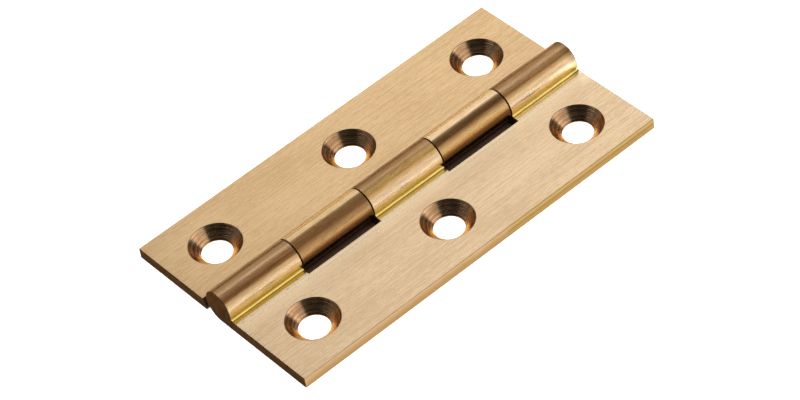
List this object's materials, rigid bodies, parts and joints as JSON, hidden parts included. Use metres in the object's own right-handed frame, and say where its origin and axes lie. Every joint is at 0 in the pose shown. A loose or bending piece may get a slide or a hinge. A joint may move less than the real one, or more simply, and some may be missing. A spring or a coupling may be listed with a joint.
{
  "type": "butt hinge",
  "caption": "Solid drawn brass butt hinge, two flat leaves with countersunk screw holes on a pinned barrel, shown open flat.",
  "frame": {"origin": "under the middle of the barrel, in the plane of the backs of the two leaves", "axes": "+X along the pin, +Y from the frame leaf to the door leaf, +Z away from the surface the leaves are screwed to"},
  "size_m": [0.0762, 0.0422, 0.0062],
  "materials": {
    "leaf_brass": "satin, brushed along the pin",
    "tip_brass": "satin, dressed flush with the barrel's end",
    "pin_steel": "plain drawn rod"
  },
  "bodies": {
    "frame_side": {"frame_leaf": "leaf_brass", "hinge_pin": "pin_steel", "pin_tip_front": "tip_brass", "pin_tip_rear": "tip_brass"},
    "door_side": {"door_leaf": "leaf_brass"}
  },
  "joints": [
    {"name": "leaf_swing", "type": "hinge", "parent": "frame_side", "child": "door_side", "pos_m": [0, 0, 0.0031], "axis": [1, 0, 0], "range_deg": [-100, 180]}
  ]
}
